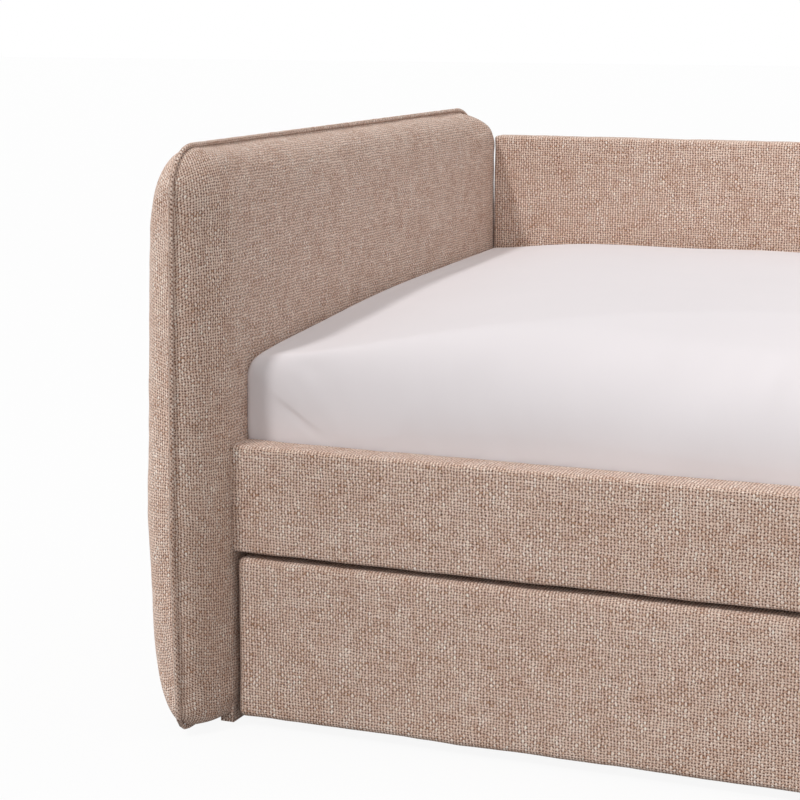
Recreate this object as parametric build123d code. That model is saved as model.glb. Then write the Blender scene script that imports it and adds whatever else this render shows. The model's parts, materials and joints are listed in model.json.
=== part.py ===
from build123d import *
import os
from math import cos, radians, sin

os.makedirs("parts", exist_ok=True)

# Mattress, a standard single
mattress_length = 1905.0
mattress_width = 991.0
mattress_height = 254.0
mattress_crown = 8.0
mattress_swell = (9.0, 3.0)
mattress_end_gap = 12.5
mattress_side_gap = 4.5
mattress_sink = 81.0
mattress_corner_round = 28.0
mattress_end_draw = 28.0
mattress_front_draw = 115.0
mattress_rear_draw = 40.0
mattress_top_rise = 100.0
mattress_bottom_draw = 22.0
mattress_bottom_rise = 40.0
mattress_crown_reach = 260.0
sheet_thickness = 1.0

# Arms: welt plane, padding and soft corners
arm_height = 809.0
arm_clearance = 9.0
inner_pad_depth = 42.0
outer_pad_depth = 63.0
inner_front_draw = 88.0
inner_rear_draw = 12.0
inner_top_draw = 46.0
inner_bottom_draw = 6.0
outer_side_draw = 60.0
outer_top_draw = 100.0
outer_bottom_draw = 170.0
arm_belly_height = 290.0
arm_belly_round = 900.0
arm_head_lean = 13.0
arm_foot_tuck = 9.0
arm_front_top_round = 84.0
arm_rear_top_round = 100.0
arm_bottom_round = 30.0
inner_front_top_round = 70.0
inner_rear_top_round = 20.0
inner_bottom_round = 24.0
outer_top_round = 100.0
outer_bottom_round = 60.0
welt_radius = 3.0

# Arm frame, linings and side board
arm_frame_thickness = 38.0
arm_frame_inset = 46.0
arm_frame_lift = 22.0
arm_post_width = 60.0
arm_rail_height = 50.0
arm_stud_count = 2
arm_stud_width = 45.0
lining_thickness = 3.0
side_board_thickness = 20.0
side_board_setback = 4.0
side_board_drop = 11.0
glide_radius = 9.0
glide_height = 2.0
glide_inset = 60.0

# Front rail
rail_setback = 90.0
rail_thickness = 50.0
rail_height = 152.0
rail_top = 401.0
board_padding = 8.0
board_edge_round = 7.0

# Back panel
back_top = 762.0
back_thickness = 40.0
back_clearance = 60.0
back_end_gap = 2.0
back_cover = 6.0
back_edge_round = 5.0
back_lining = 3.0
back_stile_width = 60.0
back_rail_height = 60.0
back_stud_count = 3

# Corner brackets with their bolts, inserts and screws
bracket_leg = 45.0
bracket_height = 60.0
bracket_thickness = 3.0
bracket_lift = 6.0
bracket_corner_round = 6.0
bracket_hole_offset = 27.0
bracket_hole_spacing = 34.0
bolt_radius = 4.0
bolt_head_radius = 7.0
bolt_head_height = 4.4
bolt_socket_radius = 2.9
bolt_length = 14.0
insert_radius = 6.0
insert_length = 15.0
screw_radius = 2.5
screw_head_radius = 4.8
screw_head_height = 3.0
screw_length = 22.0

# Cleats and bed slats
cleat_depth = 30.0
cleat_height = 30.0
cleat_end_gap = 6.0
cleat_screw_count = 7
cleat_screw_length = 50.0
slat_count = 13
slat_width = 68.0
slat_thickness = 15.0
slat_end_gap = 2.0
slat_round = 2.0
strap_width = 25.0
strap_thickness = 1.0
strap_offset = 290.0

# Trundle
trundle_thickness = 45.0
trundle_side_gap = 10.0
trundle_top_gap = 5.5
trundle_clearance = 14.0
trundle_rear_gap = 10.0
trundle_board = 20.0
trundle_rail_low = 25.0
trundle_rail_height = 60.0
ledger_depth = 30.0
ledger_height = 28.0
beam_width = 40.0
trundle_slat_count = 13
trundle_slat_width = 70.0
trundle_slat_thickness = 15.0
block_size = 80.0
block_height = 28.0

# Casters
wheel_radius = 25.0
wheel_width = 18.0
tread_thickness = 5.0
tread_round = 2.5
wheel_recess = 5.0
wheel_rim = 3.0
hub_radius = 7.5
axle_radius = 3.0
axle_clearance = 0.05
axle_head_radius = 5.0
axle_head_height = 1.5
wheel_side_gap = 1.0
fork_thickness = 2.5
fork_plate_x = 56.0
fork_plate_y = 60.0
fork_plate_round = 5.0
fork_top_width = 44.0
fork_tip_radius = 9.0
fork_hole_x = 42.0
fork_hole_y = 44.0
fork_screw_radius = 2.0
fork_screw_head = 3.8
fork_screw_head_height = 1.8
fork_screw_length = 18.0

# Shares that set the rounding of the soft forms, as parts of a quarter turn
draw_shares = (0.0, 0.25, 0.5, 0.72, 0.88, 1.0)
edge_shares = (0.0, 0.3, 0.55, 0.75, 0.9, 1.0)

# Places worked out from the sizes above
half_seat = mattress_length / 2 + mattress_end_gap
well_depth = mattress_width + 2 * mattress_side_gap
arm_depth = rail_setback + rail_thickness + well_depth + back_thickness
half_arm = arm_depth / 2
rail_front = rail_setback - half_arm
rail_back = rail_front + rail_thickness
back_rear = half_arm
back_front = back_rear - back_thickness
rail_bottom = rail_top - rail_height
slat_top = rail_top - mattress_sink
cleat_top = slat_top - slat_thickness
welt_x = -half_seat - inner_pad_depth
lining_inner_x = -half_seat - side_board_thickness
frame_inner_x = lining_inner_x - lining_thickness
frame_outer_x = frame_inner_x - arm_frame_thickness
lining_outer_x = frame_outer_x - lining_thickness
frame_front = arm_frame_inset - half_arm
frame_rear = half_arm - arm_frame_inset
frame_bottom = arm_clearance + arm_frame_lift
frame_top = arm_height - arm_frame_inset
side_board_top = rail_top - side_board_drop
side_board_front = rail_front + side_board_setback
side_board_rear = back_front
bracket_bottom = rail_bottom + bracket_lift
bracket_top = bracket_bottom + bracket_height
trundle_front = rail_front
trundle_back = trundle_front + trundle_thickness
trundle_rear = back_front - trundle_rear_gap
half_trundle = half_seat - trundle_side_gap
trundle_front_top = rail_bottom - trundle_top_gap
trundle_rail_top = trundle_rail_low + trundle_rail_height
trundle_inside = half_trundle - trundle_board
ledger_back = trundle_back + ledger_depth
block_bottom = trundle_rail_top - block_height
caster_x = trundle_inside - block_size / 2
caster_ys = (ledger_back + block_size / 2, trundle_rear - trundle_board - block_size / 2)
fork_inner = wheel_width / 2 + wheel_side_gap
fork_outer = fork_inner + fork_thickness


def block(x0, x1, y0, y1, z0, z1):
    """A box between two opposite corners."""
    return Pos((x0 + x1) / 2, (y0 + y1) / 2, (z0 + z1) / 2) * Box(x1 - x0, y1 - y0, z1 - z0)


def rod(start, direction, radius, length):
    """A round bar from a start point along a direction."""
    return extrude(Plane(origin=start, z_dir=direction) * Circle(radius), length)


def spread(first, last, count):
    """Evenly spaced places from the first to the last."""
    return [first + (last - first) * i / (count - 1) for i in range(count)]


def save(name, shape):
    """One file for one piece, a group of like solids counted as one piece."""
    if isinstance(shape, (list, tuple)):
        shape = Compound(children=[solid for item in shape for solid in item.solids()])
    export_step(shape, f"parts/{name}.step")


def mirrored(shape):
    """The same piece on the other end of the daybed."""
    return mirror(shape, about=Plane.YZ)


def arm_outline(draws, rounds):
    """Arm seen from its end: leaning front and rear edges, soft corners, drawn in on each side."""
    front_draw, rear_draw, top_draw, bottom_draw = draws
    front_round, rear_round, bottom_round = rounds
    front, rear = front_draw - half_arm, half_arm - rear_draw
    low, high = arm_clearance + bottom_draw, arm_height - top_draw
    belly = max(arm_belly_height, low + arm_belly_height / 2)
    points = [
        (front + arm_foot_tuck, low),
        (front, belly),
        (front + arm_head_lean, high),
        (rear - arm_head_lean, high),
        (rear, belly),
        (rear - arm_foot_tuck, low),
    ]
    radii = [bottom_round, arm_belly_round, front_round, rear_round, arm_belly_round, bottom_round]
    return FilletPolyline(*points, radius=radii, close=True)


def end_plane(x):
    """Plane across the daybed's length, with Y and Z as its own directions."""
    return Plane(origin=(x, 0, 0), x_dir=(0, 1, 0), z_dir=(1, 0, 0))


def crowned_pad(depth, draws, face_rounds):
    """Pad swelling from the welt plane to its face, its edges quarter ellipses."""
    sections = []
    for share in draw_shares:
        turn = radians(90 * share)
        drawn = [draw * (1 - cos(turn)) for draw in draws]
        rounds = [
            seam + (face - seam) * (1 - cos(turn)) for seam, face in zip(seam_rounds, face_rounds)
        ]
        outline = arm_outline(drawn, rounds)
        sections.append(end_plane(welt_x + depth * sin(turn)) * make_face(outline))
    if depth < 0:
        sections.reverse()
    return loft(sections)


# Arms
seam_rounds = (arm_front_top_round, arm_rear_top_round, arm_bottom_round)
welt_outline = end_plane(welt_x) * arm_outline((0, 0, 0, 0), seam_rounds)
welt_start = welt_outline.edges()[0]
welt_plane = Plane(origin=welt_start @ 0, z_dir=welt_start % 0)
arm_welt = sweep(welt_plane * Circle(welt_radius), path=welt_outline)
frame_space = block(lining_outer_x, lining_inner_x, frame_front, frame_rear, frame_bottom, frame_top)
side_board = block(
    lining_inner_x, -half_seat, side_board_front, side_board_rear, glide_height, side_board_top
)
inner_pad = crowned_pad(
    inner_pad_depth,
    (inner_front_draw, inner_rear_draw, inner_top_draw, inner_bottom_draw),
    (inner_front_top_round, inner_rear_top_round, inner_bottom_round),
)
outer_pad = crowned_pad(
    -outer_pad_depth,
    (outer_side_draw, outer_side_draw, outer_top_draw, outer_bottom_draw),
    (outer_top_round, outer_top_round, outer_bottom_round),
)
beyond_face = block(
    -half_seat, -half_seat + inner_pad_depth, -half_arm, half_arm, arm_clearance, arm_height
)
inner_pad = inner_pad - beyond_face - frame_space - side_board - arm_welt
outer_pad = outer_pad - frame_space - arm_welt


def arm_frame():
    """Posts, rails and studs of one arm, glued and screwed at butt joints."""
    across = (frame_outer_x, frame_inner_x)
    low, high = frame_bottom + arm_rail_height, frame_top - arm_rail_height
    inside = (frame_front + arm_post_width, frame_rear - arm_post_width)
    pieces = [
        block(*across, frame_front, inside[0], frame_bottom, frame_top),
        block(*across, inside[1], frame_rear, frame_bottom, frame_top),
        block(*across, *inside, frame_bottom, low),
        block(*across, *inside, high, frame_top),
    ]
    for y in spread(*inside, arm_stud_count + 2)[1:-1]:
        pieces.append(block(*across, y - arm_stud_width / 2, y + arm_stud_width / 2, low, high))
    return pieces


def lining(x0, x1):
    """Thin board over the whole arm frame."""
    return block(x0, x1, frame_front, frame_rear, frame_bottom, frame_top)


glide_ys = (side_board_front + glide_inset, side_board_rear - glide_inset)
glides = [
    rod((-half_seat - side_board_thickness / 2, y, 0), (0, 0, 1), glide_radius, glide_height)
    for y in glide_ys
]


# Front rail and trundle front: a timber core, padded on its front, top and bottom
def padded_board(half_length, front, back, low, high, padding_at_ends):
    """Core and cover of an upholstered board whose back face stays bare."""
    end = board_padding if padding_at_ends else 0
    core = block(
        end - half_length, half_length - end, front + board_padding, back,
        low + board_padding, high - board_padding,
    )
    cover = block(-half_length, half_length, front, back, low, high)
    front_edges = cover.edges().filter_by_position(Axis.Y, front, front)
    cover = fillet(front_edges, board_edge_round)
    return core, cover - core


rail_core, rail_cover = padded_board(half_seat, rail_front, rail_back, rail_bottom, rail_top, False)
trundle_core, trundle_cover = padded_board(
    half_trundle, trundle_front, trundle_back, trundle_clearance, trundle_front_top, True
)

# Back panel
half_back = half_seat - back_end_gap
back_shell = fillet(
    block(-half_back, half_back, back_front, back_rear, back_clearance, back_top).edges(),
    back_edge_round,
)
back_inside = (
    back_cover - half_back, half_back - back_cover, back_front + back_cover, back_rear - back_cover,
    back_clearance + back_cover, back_top - back_cover,
)
back_shell = back_shell - block(*back_inside)
bx0, bx1, by0, by1, bz0, bz1 = back_inside
back_front_lining = block(bx0, bx1, by0, by0 + back_lining, bz0, bz1)
back_rear_lining = block(bx0, bx1, by1 - back_lining, by1, bz0, bz1)
back_wood = (by0 + back_lining, by1 - back_lining)
cleat_mid = cleat_top - cleat_height / 2


def back_frame():
    """Stiles, top and bottom rails, a rail behind the cleat and upright studs."""
    inner = (bx0 + back_stile_width, bx1 - back_stile_width)
    rail_low, rail_high = cleat_mid - back_rail_height / 2, cleat_mid + back_rail_height / 2
    pieces = [
        block(bx0, inner[0], *back_wood, bz0, bz1),
        block(inner[1], bx1, *back_wood, bz0, bz1),
        block(*inner, *back_wood, bz0, bz0 + back_rail_height),
        block(*inner, *back_wood, rail_low, rail_high),
        block(*inner, *back_wood, bz1 - back_rail_height, bz1),
    ]
    half = arm_stud_width / 2
    for x in spread(*inner, back_stud_count + 2)[1:-1]:
        pieces.append(block(x - half, x + half, *back_wood, bz0 + back_rail_height, rail_low))
        pieces.append(block(x - half, x + half, *back_wood, rail_high, bz1 - back_rail_height))
    return pieces


# Corner brackets, each bolted to a side board and screwed to the rail or the back panel
hole_middle = (bracket_bottom + bracket_top) / 2
hole_heights = (hole_middle - bracket_hole_spacing / 2, hole_middle + bracket_hole_spacing / 2)
bracket_faces = ((rail_back, 1), (back_front, -1))
brackets, bolts, inserts, bracket_screws = [], [], [], []
for face_y, inward in bracket_faces:
    corner = Polyline(
        (0, 0), (bracket_leg, 0), (bracket_leg, bracket_thickness),
        (bracket_thickness, bracket_thickness), (bracket_thickness, bracket_leg), (0, bracket_leg),
        close=True,
    )
    angle = extrude(make_face(corner), bracket_height)
    tips = angle.edges().filter_by(
        lambda edge: edge.length < bracket_thickness * 2
        and max(edge.center().X, edge.center().Y) > bracket_leg - bracket_thickness
    )
    angle = fillet(tips.filter_by(Axis.Z, reverse=True), bracket_corner_round)
    if inward < 0:
        angle = mirror(angle, about=Plane.XZ)
    angle = Pos(-half_seat, face_y, bracket_bottom) * angle
    for z in hole_heights:
        bolt_y = face_y + inward * bracket_hole_offset
        screw_x = -half_seat + bracket_hole_offset
        bolt_start = (-half_seat + bracket_thickness, bolt_y, z)
        shank = rod(bolt_start, (-1, 0, 0), bolt_radius, bolt_length)
        head = rod(bolt_start, (1, 0, 0), bolt_head_radius, bolt_head_height)
        socket = Plane(
            origin=(-half_seat + bracket_thickness + bolt_head_height, bolt_y, z), z_dir=(-1, 0, 0)
        ) * RegularPolygon(bolt_socket_radius, 6)
        bolts.append(shank + head - extrude(socket, bolt_head_height / 2))
        sleeve = rod((-half_seat, bolt_y, z), (-1, 0, 0), insert_radius, insert_length)
        inserts.append(sleeve - shank)
        side_board = side_board - rod((-half_seat, bolt_y, z), (-1, 0, 0), insert_radius, insert_length)
        screw_start = (screw_x, face_y + inward * bracket_thickness, z)
        screw = rod(screw_start, (0, -inward, 0), screw_radius, screw_length)
        screw_cap = rod(screw_start, (0, inward, 0), screw_head_radius, screw_head_height)
        bracket_screws.append(screw + screw_cap)
        angle = angle - shank - screw
    brackets.append(angle)

for screw in bracket_screws:
    for part in (screw, mirrored(screw)):
        rail_core = rail_core - part
        back_shell = back_shell - part
        back_front_lining = back_front_lining - part

bracket_holes = [part for screw in bracket_screws for part in (screw, mirrored(screw))]
brackets = brackets + [mirrored(part) for part in brackets]
bolts = bolts + [mirrored(part) for part in bolts]
inserts = inserts + [mirrored(part) for part in inserts]

# Cleats and the screws that hold them
cleat_half = half_seat - bracket_leg - cleat_end_gap
front_cleat = block(
    -cleat_half, cleat_half, rail_back, rail_back + cleat_depth, cleat_top - cleat_height, cleat_top
)
rear_cleat = block(
    -cleat_half, cleat_half, back_front - cleat_depth, back_front, cleat_top - cleat_height, cleat_top
)
front_cleat_screws, rear_cleat_screws = [], []
cleat_screw_places = spread(cleat_depth - cleat_half, cleat_half - cleat_depth, cleat_screw_count)
for x in cleat_screw_places:
    for start_y, out, group in (
        (rail_back + cleat_depth, 1, front_cleat_screws),
        (back_front - cleat_depth, -1, rear_cleat_screws),
    ):
        start = (x, start_y, cleat_mid)
        screw = rod(start, (0, -out, 0), screw_radius, cleat_screw_length)
        group.append(screw + rod(start, (0, out, 0), screw_head_radius, screw_head_height))
for screw in front_cleat_screws:
    front_cleat = front_cleat - screw
    rail_core = rail_core - screw
for screw in rear_cleat_screws:
    rear_cleat = rear_cleat - screw
    back_shell = back_shell - screw
    back_front_lining = back_front_lining - screw
back_cutters = bracket_holes + rear_cleat_screws
back_pieces = []
for piece in back_frame():
    for screw in back_cutters:
        piece = piece - screw
    back_pieces.append(piece)


# Bed slats across the cleats, spaced by two straps
def slat_row(xs, width, y0, y1, z0, z1):
    """Slats with softened long edges, laid from front to back."""
    row = []
    for x in xs:
        slat = block(x - width / 2, x + width / 2, y0, y1, z0, z1)
        row.append(fillet(slat.edges().filter_by(Axis.Y), slat_round))
    return row


slat_reach = cleat_half - slat_width / 2
slats = slat_row(
    spread(-slat_reach, slat_reach, slat_count), slat_width,
    rail_back + slat_end_gap, back_front - slat_end_gap, cleat_top, slat_top,
)
straps = [
    block(
        -slat_reach, slat_reach, y - strap_width / 2, y + strap_width / 2,
        cleat_top - strap_thickness, cleat_top,
    )
    for y in (-strap_offset, strap_offset)
]


# Mattress and its fitted sheet
def mattress_form(extra):
    """Stack of rounded outlines: drawn-in bottom edge, swollen sides, soft top edge, low crown."""
    half_x = mattress_length / 2 + mattress_swell[0] + extra
    half_y = mattress_width / 2 + mattress_swell[1] + extra
    low, high = slat_top, slat_top + mattress_height + extra
    top_draws = (mattress_end_draw, mattress_front_draw, mattress_rear_draw)
    stations = []
    for share in edge_shares[:0:-1]:
        turn = radians(90 * share)
        drawn = mattress_bottom_draw * (1 - cos(turn))
        stations.append(((drawn, drawn, drawn), low + mattress_bottom_rise * (1 - sin(turn))))
    stations.append(((0, 0, 0), low + mattress_bottom_rise))
    for share in edge_shares:
        turn = radians(90 * share)
        drawn = tuple(draw * (1 - cos(turn)) for draw in top_draws)
        stations.append((drawn, high - mattress_top_rise * (1 - sin(turn))))
    stations.append(((mattress_crown_reach,) * 3, high + mattress_crown))
    sections = []
    for (end, front, rear), z in stations:
        x, y0, y1 = half_x - end, well_middle - half_y + front, well_middle + half_y - rear
        corners = [(-x, y0), (x, y0), (x, y1), (-x, y1)]
        outline = FilletPolyline(*corners, radius=mattress_corner_round, close=True)
        sections.append(Pos(0, 0, z) * make_face(outline))
    return loft(sections, ruled=True)


well_middle = (rail_back + back_front) / 2
mattress = mattress_form(0)
sheet = mattress_form(sheet_thickness) - mattress

# Trundle boards
end_rail = block(
    -half_trundle, -trundle_inside, trundle_back, trundle_rear, trundle_rail_low, trundle_rail_top
)
rear_rail = block(
    -trundle_inside, trundle_inside, trundle_rear - trundle_board, trundle_rear,
    trundle_rail_low, trundle_rail_top,
)
ledger = block(
    -trundle_inside, trundle_inside, trundle_back, ledger_back,
    trundle_rail_top - ledger_height, trundle_rail_top,
)
beam_middle = (trundle_back + trundle_rear) / 2
centre_beam = block(
    -trundle_inside, trundle_inside, beam_middle - beam_width / 2, beam_middle + beam_width / 2,
    trundle_rail_low, trundle_rail_top,
)
trundle_slat_reach = half_trundle - trundle_slat_width / 2
trundle_slats = slat_row(
    spread(-trundle_slat_reach, trundle_slat_reach, trundle_slat_count), trundle_slat_width,
    trundle_back, trundle_rear, trundle_rail_top, trundle_rail_top + trundle_slat_thickness,
)


def caster_fork():
    """Pressed fork: a top plate with two cheeks that taper to a round tip at the axle."""
    plate_top = block_bottom - wheel_radius
    plate = Pos(0, 0, plate_top - fork_thickness / 2) * Box(fork_plate_x, fork_plate_y, fork_thickness)
    plate = fillet(plate.edges().filter_by(Axis.Z), fork_plate_round)
    tip = Circle(fork_tip_radius)
    wide = Pos(0, plate_top - fork_thickness) * Rectangle(fork_top_width, fork_thickness)
    cheek_shape = make_hull((tip + wide).edges())
    top_cut = Pos(0, plate_top) * Rectangle(2 * fork_top_width, 2 * fork_thickness)
    cheek = extrude(end_plane(0) * (cheek_shape - top_cut), fork_thickness)
    body = plate + Pos(fork_inner, 0, 0) * cheek + Pos(-fork_outer, 0, 0) * cheek
    return body - rod((-fork_outer, 0, 0), (1, 0, 0), axle_radius, 2 * fork_outer)


def caster_wheel():
    """Nylon wheel with recessed sides, round a hub that is as wide as the tread."""
    rim = wheel_radius - tread_thickness
    web = wheel_width / 2 - wheel_recess
    bore = axle_radius + axle_clearance
    half = Polyline(
        (0, bore), (wheel_width / 2, bore), (wheel_width / 2, hub_radius), (web, hub_radius),
        (web, rim - wheel_rim), (wheel_width / 2, rim - wheel_rim), (wheel_width / 2, rim), (0, rim),
        close=True,
    )
    side = revolve(make_face(half), axis=Axis.X)
    return side + mirror(side, about=Plane.YZ)


def caster_tread():
    """Soft ring with rounded shoulders."""
    middle = wheel_radius - tread_thickness / 2
    section = Pos(0, middle) * Rectangle(wheel_width, tread_thickness)
    outer = section.vertices().group_by(Axis.Y)[-1]
    return revolve(fillet(outer, tread_round), axis=Axis.X)


axle = rod((-fork_outer, 0, 0), (1, 0, 0), axle_radius, 2 * fork_outer)
for start, way in ((fork_outer, 1), (-fork_outer, -1)):
    axle = axle + rod((start, 0, 0), (way, 0, 0), axle_head_radius, axle_head_height)
fork, wheel, tread = caster_fork(), caster_wheel(), caster_tread()
fork_screws, plate_bottom = [], block_bottom - wheel_radius - fork_thickness
for x in (-fork_hole_x / 2, fork_hole_x / 2):
    for y in (-fork_hole_y / 2, fork_hole_y / 2):
        start = (x, y, plate_bottom)
        screw = rod(start, (0, 0, 1), fork_screw_radius, fork_screw_length)
        fork_screws.append(screw + rod(start, (0, 0, -1), fork_screw_head, fork_screw_head_height))
        fork = fork - screw

corner_blocks, forks, axles, caster_screws = [], [], [], []
for side_name, side in (("left", -1), ("right", 1)):
    for end_name, y in zip(("front", "rear"), caster_ys):
        place = Pos(side * caster_x, y, wheel_radius)
        half = block_size / 2
        wood = Pos(side * caster_x, y, 0) * block(-half, half, -half, half, block_bottom, trundle_rail_top)
        placed_screws = [place * screw for screw in fork_screws]
        for screw in placed_screws:
            wood = wood - screw
        corner_blocks.append(wood)
        forks.append(place * fork)
        axles.append(place * axle)
        caster_screws.extend(placed_screws)
        save(f"caster_wheel_{end_name}_{side_name}", place * wheel)
        save(f"caster_tread_{end_name}_{side_name}", place * tread)

# Files
for side_name, turn in (("left", lambda shape: shape), ("right", mirrored)):
    save(f"arm_{side_name}_inner_pad", turn(inner_pad))
    save(f"arm_{side_name}_outer_pad", turn(outer_pad))
    save(f"arm_{side_name}_welt", turn(arm_welt))
    save(f"arm_{side_name}_frame", [turn(piece) for piece in arm_frame()])
    save(f"arm_{side_name}_inner_lining", turn(lining(frame_inner_x, lining_inner_x)))
    save(f"arm_{side_name}_outer_lining", turn(lining(lining_outer_x, frame_outer_x)))
    save(f"arm_{side_name}_side_board", turn(side_board))
    save(f"trundle_end_rail_{side_name}", turn(end_rail))
save("floor_glides", glides + [mirrored(glide) for glide in glides])
save("front_rail_core", rail_core)
save("front_rail_cover", rail_cover)
save("back_panel_frame", back_pieces)
save("back_panel_front_lining", back_front_lining)
save("back_panel_rear_lining", back_rear_lining)
save("back_panel_cover", back_shell)
save("corner_brackets", brackets)
save("bracket_bolts", bolts)
save("bolt_inserts", inserts)
save("bracket_screws", bracket_holes)
save("front_cleat", front_cleat)
save("rear_cleat", rear_cleat)
save("cleat_screws", front_cleat_screws + rear_cleat_screws)
save("bed_slats", slats)
save("slat_straps", straps)
save("mattress", mattress)
save("fitted_sheet", sheet)
save("trundle_front_core", trundle_core)
save("trundle_front_cover", trundle_cover)
save("trundle_rear_rail", rear_rail)
save("trundle_front_ledger", ledger)
save("trundle_centre_beam", centre_beam)
save("trundle_slats", trundle_slats)
save("trundle_corner_blocks", corner_blocks)
save("caster_forks", forks)
save("caster_axles", axles)
save("caster_screws", caster_screws)
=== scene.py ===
import json
import math

import bmesh
import bpy
import numpy as np
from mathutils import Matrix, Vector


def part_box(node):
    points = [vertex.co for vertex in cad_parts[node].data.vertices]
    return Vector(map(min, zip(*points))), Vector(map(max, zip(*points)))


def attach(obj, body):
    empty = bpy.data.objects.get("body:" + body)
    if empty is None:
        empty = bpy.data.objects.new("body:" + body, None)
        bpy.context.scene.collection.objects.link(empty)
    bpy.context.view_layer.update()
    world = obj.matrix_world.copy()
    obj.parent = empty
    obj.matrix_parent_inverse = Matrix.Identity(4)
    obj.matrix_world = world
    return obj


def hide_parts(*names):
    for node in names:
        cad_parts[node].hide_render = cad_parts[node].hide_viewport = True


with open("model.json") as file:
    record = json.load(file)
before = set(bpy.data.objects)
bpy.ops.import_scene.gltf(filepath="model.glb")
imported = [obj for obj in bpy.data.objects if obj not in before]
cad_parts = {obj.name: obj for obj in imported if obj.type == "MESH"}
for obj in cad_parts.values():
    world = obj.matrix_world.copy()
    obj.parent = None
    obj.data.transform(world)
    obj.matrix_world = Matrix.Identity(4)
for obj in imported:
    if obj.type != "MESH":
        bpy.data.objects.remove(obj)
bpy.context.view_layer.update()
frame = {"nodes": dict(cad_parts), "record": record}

# Photograph: camera in metres and degrees, and its field of view
CAMERA_PLACE = (0.3463, -3.0576, 1.0000)
CAMERA_TURN = 22.45
CAMERA_DROP = 10.61
SENSOR = 36.0
FOCAL_PIXELS = 2136.75
PHOTO_PIXELS = 800

# Arm pads, in metres
WELT_RADIUS = 0.003
PIPING_RADIUS = 0.0035
BELLY_HEIGHT = 0.290
BELLY_ROUND = 0.900
FRONT_LEAN = 0.019
REAR_LEAN = 0.013
FOOT_TUCK = 0.009
SEAM_ROUNDS = (0.062, 0.100, 0.030)
INNER_FACE_ROUNDS = (0.070, 0.020, 0.024)
OUTER_FACE_ROUNDS = (0.100, 0.100, 0.060)
INNER_DRAWS = (0.088, 0.012, 0.046, 0.006)
OUTER_DRAWS = (0.060, 0.060, 0.100, 0.170)
HEAD_BULGE = 0.006
HEAD_PLACE = (0.560, 0.785)
HEAD_SPREAD = (0.050, 0.016)
SEAM_TUCK = 0.0034
SEAM_REACH = 0.012
FACE_INSETS = (0.02, 0.045, 0.08)
GRID_STEP = 0.012
PAD_PRESSURE = 1.2
PAD_SWELL = 0.004
PAD_UNEVEN = (0.0007, 0.0004)
SETTLE_FRAMES = 20
WELT_SIDES = 12

# Upholstered boards, in metres
BOARD_STEP = 0.02
BOARD_UNEVEN = (0.0004, 0.0003)
BARE_BACK = 0.001

# Mattress form, in metres
FRONT_ROLL = (0.115, 0.115)
CORNER_ROLL = (0.016, 0.022)
CORNER_REACH = (0.280, 0.090)
REAR_ROLL = (0.036, 0.042)
END_ROLL = (0.018, 0.026)
BED_CORNER = 0.008
BED_CROWN = 0.004
CORNER_PULL = 0.062
PULL_REACH = (0.300, 0.110, 0.650)
FRONT_SLOPE = 0.170
SLOPE_REACH = (0.025, 0.260, 0.530)
SLOPE_EDGE = 0.005
BOTTOM_ROLL = (0.022, 0.040)
ROLL_POWER = 2.5
SHEET_THICKNESS = 0.001
# Grid counts along and across the mattress and over each rolled edge, and the grid row and column
# along which its cloth is measured
BED_COUNTS = (150, 68)
ROLL_COUNT = 10
RUN_PLACES = (50, 30)

# Folds of the fitted sheet: start, end, half width and height, in metres
SHEET_FOLDS = (
    ((-0.923, -0.270, 0.527), (-0.936, -0.028, 0.545), 0.007, -0.0030),
    ((-0.936, -0.028, 0.545), (-0.929, 0.048, 0.550), 0.007, -0.0026),
    ((-0.929, 0.048, 0.550), (-0.903, 0.346, 0.566), 0.008, -0.0022),
    ((-0.903, -0.400, 0.512), (-0.862, -0.440, 0.500), 0.012, -0.0060),
    ((-0.945, -0.420, 0.500), (-0.905, -0.453, 0.455), 0.008, 0.0022),
    ((-0.930, -0.410, 0.510), (-0.870, -0.453, 0.470), 0.008, -0.0024),
    ((-0.870, -0.448, 0.482), (-0.801, -0.453, 0.405), 0.006, 0.0020),
    ((-0.908, -0.448, 0.452), (-0.849, -0.453, 0.408), 0.006, -0.0020),
    ((-0.620, -0.400, 0.545), (-0.745, -0.453, 0.423), 0.009, 0.0022),
    ((-0.505, -0.400, 0.550), (-0.560, -0.450, 0.515), 0.008, -0.0018),
    ((-0.414, -0.230, 0.568), (-0.377, -0.450, 0.520), 0.008, 0.0016),
    ((-0.200, -0.300, 0.565), (-0.250, -0.450, 0.500), 0.010, 0.0016),
    ((0.050, -0.380, 0.560), (-0.010, -0.453, 0.480), 0.009, -0.0016),
    ((0.330, -0.250, 0.568), (0.380, -0.450, 0.510), 0.009, 0.0016),
    ((0.610, -0.400, 0.545), (0.720, -0.453, 0.430), 0.009, 0.0020),
    ((0.925, -0.260, 0.527), (0.930, 0.060, 0.550), 0.008, -0.0028),
    ((0.900, -0.405, 0.512), (0.855, -0.445, 0.490), 0.012, -0.0050),
    ((0.868, -0.448, 0.480), (0.810, -0.453, 0.410), 0.007, 0.0020),
)

# Weave: pitches, wander and relief in metres, noise scales per metre, and shares of the yarns' tone
WARP_PITCH = 0.0044
WEFT_PITCH = 0.0040
YARN_RISE = 0.45
WANDER = 0.0050
JITTER = 0.0030
WANDER_SCALES = ((45.0, 190.0), (58.0, 230.0))
YARN_SHARE, BLOTCH_SHARE, FIBRE_SHARE = 0.60, 0.20, 0.25
FIBRE_SCALE, BLOTCH_SCALE = 700.0, 22.0
WEAVE_RELIEF = 0.0011

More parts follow.
